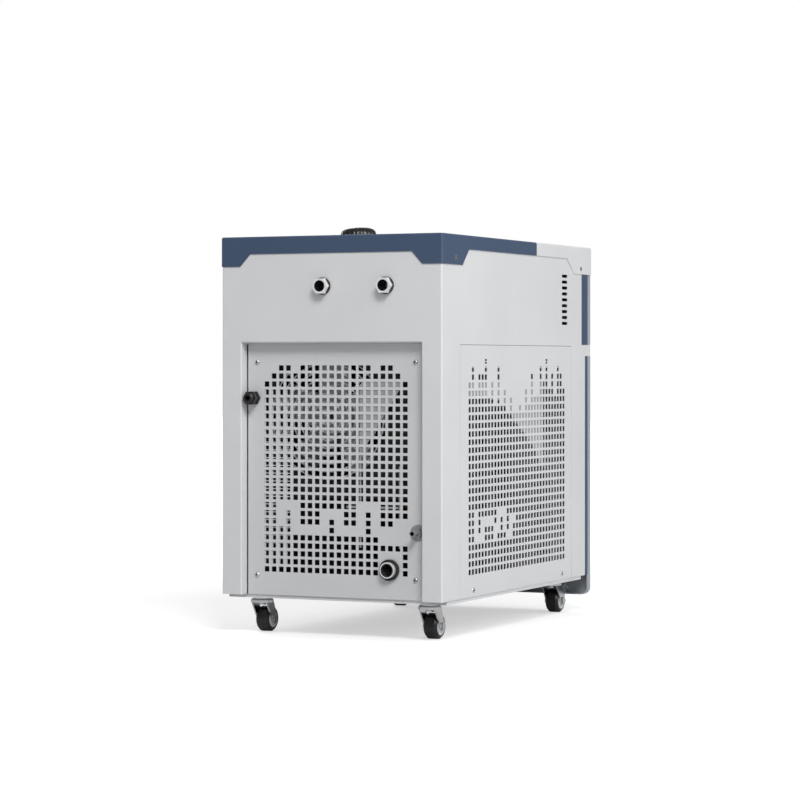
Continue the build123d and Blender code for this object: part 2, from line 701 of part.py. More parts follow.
# Electrical box on the base tray
box = span(-120.0, 60.0, wrap_front + 12, wrap_front + 70, pan_top, pan_top + box_height)
save("electrical_box", fillet(box.edges().filter_by(Axis.Z), 3))

# Swivel casters: stem, fork with its axle, wheel on its hub, and the brake pedals
plate_low, housing_top = caster_height - 3.1, caster_height - 3.4
fork_low = caster_height - housing_height
leg_inner, tyre_x = wheel_thick / 2 + 1.0, wheel_thick / 2
leg_outer = leg_inner + fork_sheet
axle_z, axle_radius = wheel_width / 2, 3.8
bore_radius = axle_radius + running_gap
housing_radius, head_low = 17.25, fork_low - 4.0
pedal_pin, pedal_ahead, pedal_z = 1.6, 24.5, caster_height - 11.5
hub_radius, hub_boss, tread_edge = 13.0, 7.0, 3.0
stems = []
for name, x, y in casters:
    braked = name.startswith("front")
    stem = [(0, head_low), (6.5, head_low), (6.5, head_low + 2), (stem_radius, head_low + 2)]
    stem += [(stem_radius, plate_low), (13.5, plate_low), (13.5, caster_height)]
    stem += [(stud_radius, caster_height), (stud_radius, caster_height + stud_height)]
    stem.append((0, caster_height + stud_height))
    stems.append(turned(stem, x, y, 0))
    race = stem_radius + running_gap
    housing = [(race, fork_low), (race, housing_top), (housing_radius - 2, housing_top)]
    housing += [(housing_radius, housing_top - 2), (housing_radius, fork_low)]
    fork = turned(housing, x, y, 0)
    hinge_y, wheel_y = y - pedal_ahead, y - caster_trail
    outline = [*(Pos(wheel_y, axle_z) * Circle(7)).edges()]
    outline.append(Line((y - 12, fork_low + 0.2), (y + 10, fork_low + 0.2)))
    if braked:
        outline += (Pos(hinge_y, pedal_z) * Circle(3.6)).edges()
    leg = make_hull(outline)
    for side in (-1, 1):
        fork += profile_x(leg, *sorted((x + side * leg_inner, x + side * leg_outer)))
    fork += rod_x(axle_radius, wheel_y, axle_z, x - leg_outer, x + leg_outer)
    head = RegularPolygon(5.4, 6, major_radius=False)
    for x0, x1 in ((x - leg_outer - 2.4, x - leg_outer), (x + leg_outer, x + leg_outer + 2.4)):
        fork += profile_x(Pos(wheel_y, axle_z) * head, x0, x1)
    if braked:
        fork -= rod_x(pedal_pin + running_gap, hinge_y, pedal_z, x - 20, x + 20)
    save(f"{name}_caster_fork", fork)
    seat = tyre_x - 3
    tread = [(hub_radius, -tyre_x), (axle_z - tread_edge, -tyre_x), (axle_z, tread_edge - tyre_x)]
    tread += [(axle_z, tyre_x - tread_edge), (axle_z - tread_edge, tyre_x), (hub_radius, tyre_x)]
    wheel_at = Pos(x, wheel_y, axle_z) * Rot(0, 90, 0)
    save(f"{name}_caster_tyre", wheel_at * turned(tread, 0, 0, 0))
    boss_x = tyre_x + 0.5
    hub = [(bore_radius, -boss_x), (hub_boss, -boss_x), (hub_boss + 1, -seat), (hub_radius, -seat)]
    hub += [(hub_radius, seat), (hub_boss + 1, seat), (hub_boss, boss_x), (bore_radius, boss_x)]
    save(f"{name}_caster_hub", wheel_at * turned(hub, 0, 0, 0))
    if braked:
        lever = polygon(
            (hinge_y + 3, pedal_z - 1.2), (hinge_y + 3, pedal_z + 2.4), (hinge_y - 6, pedal_z + 2.4),
            (hinge_y - 24, pedal_z - 3.5), (hinge_y - 23, pedal_z - 6.2), (hinge_y - 5, pedal_z - 1.8),
        )
        pedal = profile_x(lever, x - leg_inner + 0.5, x + leg_inner - 0.5)
        pedal += rod_x(pedal_pin, hinge_y, pedal_z, x - leg_outer, x + leg_outer)
        save(f"{name}_caster_brake", pedal)
save("caster_stems", *stems)
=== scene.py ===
import bpy
import bmesh
import json
import math
from mathutils import Matrix, Vector


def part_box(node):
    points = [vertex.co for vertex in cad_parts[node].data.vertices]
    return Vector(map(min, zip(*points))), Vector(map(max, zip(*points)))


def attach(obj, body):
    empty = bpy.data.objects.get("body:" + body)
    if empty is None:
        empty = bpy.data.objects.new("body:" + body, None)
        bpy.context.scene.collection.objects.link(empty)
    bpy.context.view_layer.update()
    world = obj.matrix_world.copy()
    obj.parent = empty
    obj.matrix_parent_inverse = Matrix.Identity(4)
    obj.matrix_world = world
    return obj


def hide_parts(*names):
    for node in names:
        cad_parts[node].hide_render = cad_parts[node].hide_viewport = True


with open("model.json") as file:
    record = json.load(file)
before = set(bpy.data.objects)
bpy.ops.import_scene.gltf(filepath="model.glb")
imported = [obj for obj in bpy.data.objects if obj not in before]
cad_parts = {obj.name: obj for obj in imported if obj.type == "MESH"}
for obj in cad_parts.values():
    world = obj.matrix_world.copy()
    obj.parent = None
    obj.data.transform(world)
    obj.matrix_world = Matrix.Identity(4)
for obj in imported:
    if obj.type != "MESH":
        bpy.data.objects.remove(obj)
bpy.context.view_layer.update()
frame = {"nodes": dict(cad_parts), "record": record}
nodes = frame["nodes"]
mm = 0.001

# Levels and faces of the cabinet, read from the frame
wrapLow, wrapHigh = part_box("cabinet_wrap")
grilleLow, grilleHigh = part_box("rear_grille")
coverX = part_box("rear_top_cover")[1].x
backY = wrapHigh.y
wrapX = wrapHigh.x
cabinetZ = wrapLow.z
recessY = grilleHigh.y


def newMaterial(name):
    material = bpy.data.materials.new(name)
    material.use_nodes = True
    tree = material.node_tree
    shader = tree.nodes["Principled BSDF"]
    coords = tree.nodes.new("ShaderNodeTexCoord")
    return material, tree, shader, coords.outputs["Object"]


def addNoise(tree, vector, scale, detail=3.0, rough=0.5):
    noise = tree.nodes.new("ShaderNodeTexNoise")
    noise.inputs["Scale"].default_value = scale
    noise.inputs["Detail"].default_value = detail
    noise.inputs["Roughness"].default_value = rough
    tree.links.new(vector, noise.inputs["Vector"])
    return noise.outputs["Fac"]


def addRange(tree, value, low, high):
    mapped = tree.nodes.new("ShaderNodeMapRange")
    mapped.inputs["To Min"].default_value = low
    mapped.inputs["To Max"].default_value = high
    tree.links.new(value, mapped.inputs["Value"])
    return mapped.outputs["Result"]


tintStops = (0.3, 0.7)  # noise values where a tint is darkest and lightest


def addTint(tree, value, colour, spread):
    ramp = tree.nodes.new("ShaderNodeValToRGB")
    for k, sign in ((0, -1), (1, 1)):
        stop = ramp.color_ramp.elements[k]
        stop.position = tintStops[k]
        stop.color = [c * (1 + sign * spread) for c in colour] + [1]
    tree.links.new(value, ramp.inputs["Fac"])
    return ramp.outputs["Color"]


def addBump(tree, shader, height, distance):
    bump = tree.nodes.new("ShaderNodeBump")
    bump.inputs["Distance"].default_value = distance
    bump.inputs["Strength"].default_value = 1
    tree.links.new(height, bump.inputs["Height"])
    tree.links.new(bump.outputs["Normal"], shader.inputs["Normal"])


# 8-bit colour values as seen, to the linear ones of a shader
def linear(*srgb):
    return [((c / 255 + 0.055) / 1.055) ** 2.4 if c > 10 else c / 255 / 12.92 for c in srgb]


# Paint and plastic: broad noise tints, fine noise roughens and makes the grain
coat = {"broadScale": 9, "detail": 2, "fineRough": 0.6, "roughSpread": 0.05}


def paint(name, colour, rough, grain, grainDepth, spread=0.02):
    material, tree, shader, vector = newMaterial(name)
    broad = addNoise(tree, vector, coat["broadScale"], coat["detail"])
    tree.links.new(addTint(tree, broad, linear(*colour), spread), shader.inputs["Base Color"])
    fine = addNoise(tree, vector, grain, coat["detail"], coat["fineRough"])
    low, high = rough - coat["roughSpread"], rough + coat["roughSpread"]
    tree.links.new(addRange(tree, fine, low, high), shader.inputs["Roughness"])
    addBump(tree, shader, fine, grainDepth)
    return material


# Metal: one noise, drawn out along the grain, does all three
wear = {"smoothest": 0.8, "roughest": 1.25, "depth": 0.00001}


def metal(name, colour, rough, grain, spread=0.06):
    material, tree, shader, vector = newMaterial(name)
    shader.inputs["Metallic"].default_value = 1
    mapping = tree.nodes.new("ShaderNodeMapping")
    mapping.inputs["Scale"].default_value = grain
    tree.links.new(vector, mapping.inputs["Vector"])
    streak = addNoise(tree, mapping.outputs["Vector"], 1)
    tree.links.new(addTint(tree, streak, linear(*colour), spread), shader.inputs["Base Color"])
    low, high = rough * wear["smoothest"], rough * wear["roughest"]
    tree.links.new(addRange(tree, streak, low, high), shader.inputs["Roughness"])
    addBump(tree, shader, streak, wear["depth"])
    return material


# Name, colour, roughness, grain scale, then grain depth in metres for paint, and tint spread
finishes = {
    "lightPaint": paint("light powder coat", (212, 213, 215), 0.42, 1500, 0.00002),
    "greyPaint": paint("pale cover paint", (214, 215, 217), 0.40, 1500, 0.00002),
    "bluePaint": paint("blue cover paint", (60, 78, 104), 0.5, 1500, 0.00002),
    "rimGrey": paint("grey front moulding", (160, 166, 172), 0.45, 900, 0.00003),
    "zincSheet": metal("zinc plated sheet", (190, 192, 194), 0.38, (60, 60, 60), 0.1),
    "stainless": metal("brushed stainless", (200, 200, 198), 0.30, (900, 30, 900)),
    "chrome": metal("bright chrome", (225, 226, 228), 0.12, (300, 300, 300), 0.02),
    "casterChrome": metal("caster zinc plate", (205, 206, 208), 0.16, (200, 200, 200), 0.04),
    "blackPlastic": paint("black moulded plastic", (26, 26, 27), 0.42, 1200, 0.00004, 0.1),
    "blackGloss": paint("black gloss paint", (16, 16, 17), 0.22, 700, 0.00001, 0.1),
    "rubber": paint("black rubber", (24, 24, 24), 0.62, 1600, 0.00005, 0.1),
    "tread": paint("black polyurethane tread", (22, 22, 23), 0.32, 900, 0.00002, 0.1),
    "hubGrey": paint("pale hub plastic", (206, 208, 210), 0.40, 900, 0.00003),
    "pedalGrey": paint("grey pedal plastic", (118, 121, 125), 0.45, 900, 0.00003),
    "keyGrey": paint("dark key plastic", (72, 76, 82), 0.45, 1200, 0.00003),
    "display": paint("smoked display window", (12, 14, 18), 0.12, 300, 0.000005, 0.1),
    # Copper toned darker than new copper, the extra darkness painted shade for the pipes inside
    # the cabinet
    "copper": metal("drawn copper", (132, 84, 60), 0.34, (200, 200, 200)),
    "finStock": metal("aluminium fin stock", (190, 192, 195), 0.35, (20, 20, 2600), 0.3),
    "platePaint": paint("grille plate powder coat", (203, 204, 206), 0.42, 1500, 0.00002),
    # Painted shade: a near-black sheet colour that stands for the shade inside the cabinet
    "paintedShadeSheet": paint("painted shade inner sheet", (30, 31, 32), 0.5, 900, 0.00003, 0.1),
    "wire": paint("bright guard wire", (222, 223, 224), 0.3, 900, 0.00001),
    "capBlack": paint("black cap plastic", (18, 18, 20), 0.3, 900, 0.00001, 0.1),
    "bracketGrey": paint("grey bracket paint", (150, 151, 153), 0.45, 1200, 0.00003),
    "hose": paint("milky hose", (214, 214, 206), 0.30, 300, 0.00002),
}
print("materials made:", len(finishes))

finishOfSlot = {
    "light_paint": "lightPaint", "grey_paint": "greyPaint", "blue_paint": "bluePaint",
    "rim_grey": "rimGrey", "zinc": "zincSheet", "stainless": "stainless", "chrome": "chrome",
    "black_plastic": "blackPlastic", "black_gloss": "blackGloss", "copper": "copper",
    "aluminium": "finStock", "rubber": "rubber", "tread": "tread", "hub_grey": "hubGrey",
    "pedal_grey": "pedalGrey", "display": "display", "key_grey": "keyGrey", "hose": "hose",
}
# Painted shade: these parts look dark from outside, through the grille and the side panel, so
# they take the dark sheet colour that stands for the shade inside
paintedShadeNodes = ("condenser", "fan_shroud", "fan_motor", "tank_shelf")
finishOfNode = {node: "paintedShadeSheet" for node in paintedShadeNodes}
finishOfNode.update({"base_pan": "lightPaint", "rear_grille": "platePaint"})

# Rear fittings: painted shade in the bore, dark out to a radius from the axis; the fitting's own
# bright face beyond it
fittings = {
    "outlet_port": {
        "radius": 8.4 * mm, "boreShade": (34, 34, 36), "face": (240, 240, 242), "metallic": 0.3,
    },
    "inlet_port": {
        "radius": 8.4 * mm, "boreShade": (34, 34, 36), "face": (240, 240, 242), "metallic": 0.3,
    },
    "drain_port": {
        "radius": 10.1 * mm, "boreShade": (62, 63, 65), "face": (236, 236, 238), "metallic": 0.4,
    },
    "overflow_barb": {
        "radius": 3.1 * mm, "boreShade": (20, 20, 21), "face": (150, 151, 154), "metallic": 0.3,
    },
}
fittingSurface = {"grain": 700, "rough": (0.2, 0.32), "depth": 0.000001}


def boredMetal(node, look):
    low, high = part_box(node)
    material, tree, shader, vector = newMaterial("bored fitting " + node.replace("_", " "))
    flat = tree.nodes.new("ShaderNodeMapping")
    flat.inputs["Scale"].default_value = (1, 0, 1)  # the axis is along Y
    away = tree.nodes.new("ShaderNodeVectorMath")
    away.operation = "DISTANCE"
    away.inputs[1].default_value = ((low.x + high.x) / 2, 0, (low.z + high.z) / 2)
    share = tree.nodes.new("ShaderNodeMapRange")
    share.inputs["From Max"].default_value = look["radius"] * 2
    ramp = tree.nodes.new("ShaderNodeValToRGB")
    ramp.color_ramp.interpolation = "CONSTANT"
    # The bore takes painted shade: a dark colour that stands for the shade inside the hole
    ramp.color_ramp.elements[0].color = linear(*look["boreShade"]) + [1]
    ramp.color_ramp.elements[1].position = 0.5  # half of twice the radius
    ramp.color_ramp.elements[1].color = linear(*look["face"]) + [1]
    tree.links.new(vector, flat.inputs["Vector"])
    tree.links.new(flat.outputs["Vector"], away.inputs[0])
    tree.links.new(away.outputs["Value"], share.inputs["Value"])
    tree.links.new(share.outputs["Result"], ramp.inputs["Fac"])
    tree.links.new(ramp.outputs["Color"], shader.inputs["Base Color"])
    shader.inputs["Metallic"].default_value = look["metallic"]
    fine = addNoise(tree, vector, fittingSurface["grain"])
    tree.links.new(addRange(tree, fine, *fittingSurface["rough"]), shader.inputs["Roughness"])
    addBump(tree, shader, fine, fittingSurface["depth"])
    return material


for part in frame["record"]["subparts"]:
    node = part["node"]
    finish = finishOfNode.get(node, finishOfSlot[part["material_slot"]])
    if node.endswith(("_fork", "_stems")):
        finish = "casterChrome"
    if node in fittings:
        finish = node
        finishes[node] = boredMetal(node, fittings[node])
    mesh = nodes[node].data
    mesh.materials.clear()
    mesh.materials.append(finishes[finish])

# Painted shade: faces inside the cabinet take the dark sheet colour that stands for the shade
# inside; the outside keeps its paint
insideMargin = {"wrap": 0.6 * mm, "recess": 2 * mm, "pan": 0.3 * mm}
panLow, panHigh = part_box("base_pan")


def insideWrap(point):
    behindPlate = point.y < recessY - insideMargin["recess"]
    return behindPlate and abs(point.x) < wrapX - insideMargin["wrap"]


def insideLeftPanel(point):
    return point.x < wrapX - insideMargin["wrap"]


def insidePan(point):
    margin = insideMargin["pan"]
    withinDepth = panLow.y + margin < point.y < panHigh.y - margin
    return withinDepth and abs(point.x) < panHigh.x - margin and point.z > panLow.z + margin


insideOf = {
    "cabinet_wrap": insideWrap, "left_side_panel": insideLeftPanel, "base_pan": insidePan,
}
# Inner faces get the painted shade colour as a second material
for node, isInside in insideOf.items():
    mesh = nodes[node].data
    mesh.materials.append(finishes["paintedShadeSheet"])
    for polygon in mesh.polygons:
        polygon.material_index = 1 if isInside(polygon.center) else 0
print("carried pieces finished:", len(nodes))

sharpAngle = 0.6  # radians; an edge that turns more stays sharp


def addObject(name, data):
    item = bpy.data.objects.new(name, data)
    bpy.context.scene.collection.objects.link(item)
    return item


def addPiece(name, bm, finish, body):
    for edge in bm.edges:
        edge.smooth = edge.calc_face_angle(0) < sharpAngle
    for polygon in bm.faces:
        polygon.smooth = True
    mesh = bpy.data.meshes.new(name)
    bm.to_mesh(mesh)
    bm.free()
    mesh.materials.append(finishes[finish])
    piece = addObject(name, mesh)
    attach(piece, body)
    return piece


# Right side panel: one sheet of square holes, blank above a skyline and at a stepped border.
# The skyline counts the blank rows at the top of each column; blanks are columns in a row.
sidePanel = {
    "hole": 8 * mm, "pitch": 12 * mm, "sheet": 0.7 * mm, "columns": 32, "rows": 27,
    "firstFromBack": 99.5 * mm, "lowestRow": 36.8 * mm,
    "skyline": [
        3, 1, 4, 2, 2, 0, 5, 3, 6, 1, 6, 4, 7, 5, 7, 7,
        6, 7, 4, 6, 2, 5, 5, 1, 3, 0, 4, 2, 5, 1, 2, 4,
    ],
    "blanks": {
        4: (2, 3, 4, 8, 12, 13),
        5: (2, 4, 8, 9, 11, 13),
        6: (2, 4, 5, 6, 7, 9, 11, 13, 14),
        7: (2, 9, 10, 11),
    },
}


def makeSidePanel():
    size = sidePanel
    low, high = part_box("right_side_panel")
    half = size["hole"] / 2
    ys, zs = [low.y], [low.z]
    for k in reversed(range(size["columns"])):
        y = backY - size["firstFromBack"] - k * size["pitch"]
        ys += [y - half, y + half]
    for k in range(size["rows"]):
        z = cabinetZ + size["lowestRow"] + k * size["pitch"]
        zs += [z - half, z + half]
    ys.append(high.y)
    zs.append(high.z)
    bm = bmesh.new()
    bmesh.ops.create_grid(bm, x_segments=len(ys) - 1, y_segments=len(zs) - 1, size=1)
    stepY, stepZ = 2 / (len(ys) - 1), 2 / (len(zs) - 1)
    holes = []
    for cell in bm.faces:
        middle = cell.calc_center_median()
        column, row = int((middle.x + 1) / stepY), int((middle.y + 1) / stepZ)
        if column % 2 == 0 or row % 2 == 0:
            continue
        k = size["columns"] - 1 - column // 2
        j = row // 2
        if j >= size["rows"] - size["skyline"][k] or k in size["blanks"].get(j, ()):
            continue
        holes.append(cell)
    for vert in bm.verts:
        column, row = round((vert.co.x + 1) / stepY), round((vert.co.y + 1) / stepZ)
        vert.co = Vector((low.x, ys[column], zs[row]))
    bmesh.ops.delete(bm, geom=holes, context="FACES")
    bmesh.ops.recalc_face_normals(bm, faces=bm.faces)
    if bm.faces[:][0].normal.x > 0:
        bmesh.ops.reverse_faces(bm, faces=bm.faces)
    everything = bm.faces[:] + bm.edges[:] + bm.verts[:]
    bmesh.ops.solidify(bm, geom=everything, thickness=size["sheet"])
    bmesh.ops.recalc_face_normals(bm, faces=bm.faces)
    panel = addPiece("rightPanelPerforated", bm, "lightPaint", "cabinet")
    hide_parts("right_side_panel")


makeSidePanel()
print("right side panel perforated")

# Domed screws with a cross recess, drawn as black bars on the head as painted shade for the
# hollow; lift and depth of the recess are shares of the height
screw = {
    "radius": 3.8 * mm, "slot": 0.9 * mm, "reach": 2.1 * mm, "around": 24, "rings": 12,
    "recessLift": 0.91, "recessDepth": 0.2,
}
screwHeight = {"grille": 2.4 * mm, "panel": 1.2 * mm, "cover": 0.05 * mm}
# In mm: across and up on the grille, from the back and up on the sides
screwPlaces = {
    "grille": ((-130.5, 29.2), (-130.5, 346.9), (130.5, 29.2), (130.5, 346.9)),
    "cover": ((47.5, 500.0), (544.5, 498.4)),
    "panel": ((113.4, 9.4), (463.9, 9.4)),
}


def makeScrewHead(height):
    bm = bmesh.new()
    bmesh.ops.create_uvsphere(bm, u_segments=screw["around"], v_segments=screw["rings"], radius=1)
    radius = screw["radius"]
    for vert in bm.verts:
        vert.co = Vector((vert.co.x * radius, vert.co.y * radius, vert.co.z * height))
    everything = bm.faces[:] + bm.edges[:] + bm.verts[:]
    bmesh.ops.bisect_plane(
        bm, geom=everything, plane_co=(0, 0, 0), plane_no=(0, 0, -1), clear_outer=True
    )
    rim = [edge for edge in bm.edges if edge.is_boundary]
    bmesh.ops.edgeloop_fill(bm, edges=rim)
    bmesh.ops.recalc_face_normals(bm, faces=bm.faces)
    return bm


def placeScrews(name, places, turn, height):
    bm = bmesh.new()
    for place in places:
        head = makeScrewHead(height)
        bmesh.ops.transform(head, matrix=Matrix.Translation(place) @ turn, verts=head.verts)
        mesh = bpy.data.meshes.new("head")
        head.to_mesh(mesh)
        head.free()
        bm.from_mesh(mesh)
        bpy.data.meshes.remove(mesh)
    addPiece(name, bm, "casterChrome", "cabinet")
    # Black bars across each head: painted shade in the cross recess
    bm = bmesh.new()
    size = Matrix.Diagonal((screw["reach"] * 2, screw["slot"], height * screw["recessDepth"], 1))
    lift = Matrix.Translation((0, 0, height * screw["recessLift"]))
    for place in places:
        for spin in (0, math.pi / 2):
            bar = bmesh.ops.create_cube(bm, size=1)["verts"]
            shape = Matrix.Translation(place) @ turn @ lift @ Matrix.Rotation(spin, 4, "Z") @ size
            bmesh.ops.transform(bm, matrix=shape, verts=bar)
    addPiece(name + "RecessShade", bm, "blackPlastic", "cabinet")


turnBack = Matrix.Rotation(-math.pi / 2, 4, "X")
turnLeft = Matrix.Rotation(math.pi / 2, 4, "Y")
turnRight = Matrix.Rotation(-math.pi / 2, 4, "Y")
grillePlaces = [(x * mm, recessY, cabinetZ + z * mm) for x, z in screwPlaces["grille"]]
placeScrews("grilleScrews", grillePlaces, turnBack, screwHeight["grille"])
for side, turn, word in ((1, turnLeft, "left"), (-1, turnRight, "right")):
    for kind, faceX in (("cover", coverX), ("panel", wrapX)):
        places = [
            (side * faceX, backY - d * mm, cabinetZ + z * mm) for d, z in screwPlaces[kind]
        ]
        placeScrews(word + kind.capitalize() + "Screws", places, turn, screwHeight[kind])
print("screws placed")


def revolve(bm, x, z, profile, segments=64):
    loops = []
    for k in range(segments):
        turn = math.tau * k / segments
        across, up = math.cos(turn), math.sin(turn)
        loops.append([bm.verts.new((x + r * across, y, z + r * up)) for r, y in profile])
    count = len(profile)
    for k in range(segments):
        here, after = loops[k], loops[(k + 1) % segments]
        for j in range(count):
            following = (j + 1) % count
            bm.faces.new((here[j], here[following], after[following], after[j]))


def tubeProfile(inner, outer, start, end):
    return [(inner, start), (outer, start), (outer, end), (inner, end)]


def addRod(bm, sides, radius, length):
    return bmesh.ops.create_cone(
        bm, cap_ends=True, segments=sides, radius1=radius, radius2=radius, depth=length
    )["verts"]


def addBox(bm, low, high):
    verts = bmesh.ops.create_cube(bm, size=1)["verts"]
    for vert in verts:
        vert.co = Vector([low[k] + (high[k] - low[k]) * (vert.co[k] + 0.5) for k in range(3)])


def closePiece(name, bm, finish, body="cabinet"):
    bmesh.ops.recalc_face_normals(bm, faces=bm.faces)
    return addPiece(name, bm, finish, body)


# Fan guard: fine rings at an even pitch on four spokes
fanGuard = {
    "rings": 8, "pitch": 11.5 * mm, "wire": 1.3 * mm, "wireSides": 8, "segments": 72, "spokes": 4,
}


def makeFanGuard():
    size = fanGuard
    wire, sides = size["wire"], size["wireSides"]
    low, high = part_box("fan_guard")
    x, y, z = (low.x + high.x) / 2, (low.y + high.y) / 2, (low.z + high.z) / 2
    outer = (high.z - low.z) / 2 - wire
    inner = outer - (size["rings"] - 1) * size["pitch"]
    middle = (outer + inner) / 2
    turns = [math.tau * j / sides for j in range(sides)]
    bm = bmesh.new()
    for k in range(size["rings"]):
        radius = outer - k * size["pitch"]
        profile = [(radius + wire * math.cos(t), y + wire * math.sin(t)) for t in turns]
        revolve(bm, x, z, profile, size["segments"])
    for k in range(size["spokes"]):
        turn = math.tau * (k + 0.5) / size["spokes"]
        spoke = addRod(bm, sides, wire, outer - inner)
        place = Matrix.Translation((x + middle * math.cos(turn), y, z + middle * math.sin(turn)))
        lean = Matrix.Rotation(math.pi / 2 - turn, 4, "Y")
        bmesh.ops.transform(bm, matrix=place @ lean, verts=spoke)
    guard = closePiece("fanGuardRings", bm, "wire")
    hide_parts("fan_guard")
    print("fan guard rings, outer radius in mm:", round(outer / mm, 1))


makeFanGuard()

# Plate, strips and tube just behind the grille, and a plate behind the side panel, in mm.
# The side plate's corners are hole columns and rows of the panel, from its top rear corner.
inside = {
    "gusset": ((-42, 380), (-108, 380), (-108, 372), (-42, 272)),
    "edge": (-42, -39.5, 134, 374), "bar": (-102, -18, 192, 195),
    "tube": (-105, 3.0, 134, 254), "tubeSides": 20, "sheet": 1.2, "behind": 1.2,
    "sidePlate": ((0, 2.6), (24, 2.6), (24, 14), (20.5, 11), (10, 5), (0, 4.4)),
    "sidePlateIn": 0.8,
}
# Wires behind the left columns of holes; depths are in wire radii
wireMesh = {
    "columns": 4, "firstX": 114, "pitch": 12, "half": 3.1, "wire": 0.5, "rowPitch": 11.56,
    "middle": 217.9, "up": 13, "down": 10, "uprightDepth": 2, "rowDepth": (3.6, 1.6),
}


def addPrism(bm, corners, depth):
    front = [bm.verts.new(corner) for corner in corners]
    rear = [bm.verts.new(Vector(corner) + Vector(depth)) for corner in corners]
    bm.faces.new(front)
    bm.faces.new(rear[::-1])
    count = len(corners)
    for k in range(count):
        bm.faces.new((front[k], rear[k], rear[(k + 1) % count], front[(k + 1) % count]))


def makeInside():
    size = inside
    near = recessY - size["behind"] * mm
    far = near - size["sheet"] * mm
    bm = bmesh.new()
    addPrism(bm, [(x * mm, near, z * mm) for x, z in size["gusset"]], (0, far - near, 0))
    corners = []
    for k, row in size["sidePlate"]:
        y = backY - sidePanel["firstFromBack"] - k * sidePanel["pitch"]
        up = sidePanel["rows"] - 1 - row
        z = cabinetZ + sidePanel["lowestRow"] + up * sidePanel["pitch"]
        corners.append((size["sidePlateIn"] * mm - wrapX, y, z))
    addPrism(bm, corners, (size["sheet"] * mm, 0, 0))
    for x0, x1, z0, z1 in (size["edge"], size["bar"]):
        addBox(bm, (x0 * mm, far, z0 * mm), (x1 * mm, near, z1 * mm))
    x, radius, z0, z1 = size["tube"]
    tube = addRod(bm, size["tubeSides"], radius * mm, (z1 - z0) * mm)
    centre = (x * mm, near - radius * mm, (z0 + z1) / 2 * mm)
    bmesh.ops.translate(bm, vec=centre, verts=tube)
    closePiece("innerBrackets", bm, "bracketGrey")


def makeWireMesh():
    size = wireMesh
    near = recessY - inside["behind"] * mm
    wire = size["wire"] * mm
    low = (size["middle"] - size["down"] * size["rowPitch"]) * mm
    high = (size["middle"] + size["up"] * size["rowPitch"]) * mm
    left = (size["firstX"] + size["half"]) * mm
    right = (size["firstX"] - (size["columns"] - 1) * size["pitch"] - size["half"]) * mm
    bm = bmesh.new()
    for k in range(size["columns"]):
        for side in (-1, 1):
            x = (size["firstX"] - k * size["pitch"] + side * size["half"]) * mm
            deep = near - size["uprightDepth"] * wire
            addBox(bm, (x - wire, deep, low), (x + wire, near, high))
    deep, shallow = [near - radii * wire for radii in size["rowDepth"]]
    for k in range(-size["down"], size["up"] + 1):
        z = (size["middle"] + k * size["rowPitch"]) * mm
        addBox(bm, (right, deep, z - wire), (left, shallow, z + wire))
    closePiece("innerWireMesh", bm, "wire")


makeInside()
makeWireMesh()

# Filler cap: domed top over a fluted skirt, its outline as radius and height in mm
capDome = {
    "profile": (
        (0, 15), (15, 14.7), (21.5, 13), (25.2, 10), (27, 5),
        (27.6, 0.4), (22.6, 0.4), (22.6, 8.4), (0, 8.4),
    ),
    "height": 15, "segments": 96, "flute": 0.965, "fluteEvery": 4, "fluteFrom": 24,
    "merge": 0.000001,
}


def makeCap():
    size = capDome
    low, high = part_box("filler_cap")
    scale = (high.z - low.z) / (size["height"] * mm)
    bm = bmesh.new()
    outline = [(r * mm, h * mm * scale) for r, h in size["profile"]]
    revolve(bm, 0, 0, outline, size["segments"])
    bmesh.ops.remove_doubles(bm, verts=bm.verts, dist=size["merge"])
    for vert in bm.verts:
        x, height, z = vert.co
        step = round(math.atan2(z, x) / math.tau * size["segments"])
        fluted = step % size["fluteEvery"] == 0 and math.hypot(x, z) > size["fluteFrom"] * mm
        flat = size["flute"] if fluted else 1
        middleX, middleY = (low.x + high.x) / 2, (low.y + high.y) / 2
        vert.co = Vector((middleX + x * flat, middleY - z * flat, low.z + height))
    cap = closePiece("fillerCapDome", bm, "capBlack", "filler_cap")
    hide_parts("filler_cap")


makeCap()

# Pale discs that close the wheels' hubs, turning with them, in mm
hubDisc = {"inner": 7.4, "outer": 13.2, "near": 9.6, "far": 10.9, "segments": 48}


def makeHubDiscs():
    size = hubDisc
    for node in nodes:
        if not node.endswith("_caster_hub"):
            continue
        low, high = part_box(node)
        bm = bmesh.new()
        for side in (-1, 1):
            start, end = sorted((side * size["near"] * mm, side * size["far"] * mm))
            ring = tubeProfile(size["inner"] * mm, size["outer"] * mm, start, end)
            revolve(bm, 0, 0, ring, size["segments"])
        shape = Matrix.Translation((low + high) / 2) @ Matrix.Rotation(math.pi / 2, 4, "Z")
        bmesh.ops.transform(bm, matrix=shape, verts=bm.verts)
        wheel = node.replace("_caster_hub", "_wheel")
        closePiece(node.replace("_hub", "_disc"), bm, "hubGrey", wheel)


makeHubDiscs()

# Black strips at the grille's two edges, in the rubber finish, are painted shade for the dark gap
# there; washers under the ports, in mm.
# A washer is its inner and outer radius, then its start and end from the back.
edgeShadowAndWashers = {"edge": (145.9, 147.9), "edgeIn": 1, "edgeOut": 0.05, "washer": (10.2, 12.6, 0, 4.9)}


def makeEdgeShadowAndWashers():
    size = edgeShadowAndWashers
    bm = bmesh.new()
    start, end = recessY - size["edgeIn"] * mm, recessY + size["edgeOut"] * mm
    for side in (-1, 1):
        near, far = sorted(side * x * mm for x in size["edge"])
        addBox(bm, (near, start, grilleLow.z), (far, end, grilleHigh.z))
    # Painted shade: black strips in the gaps at the grille's edges
    closePiece("grilleEdgeShadowStrips", bm, "rubber")
    inner, outer, start, end = [v * mm for v in size["washer"]]
    ring = tubeProfile(inner, outer, backY + start, backY + end)
    bm = bmesh.new()
    for node in ("outlet_port", "inlet_port"):
        low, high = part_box(node)
        revolve(bm, (low.x + high.x) / 2, (low.z + high.z) / 2, ring)
    closePiece("portWashers", bm, "rubber")


makeEdgeShadowAndWashers()
print("guard, brackets and seals made")

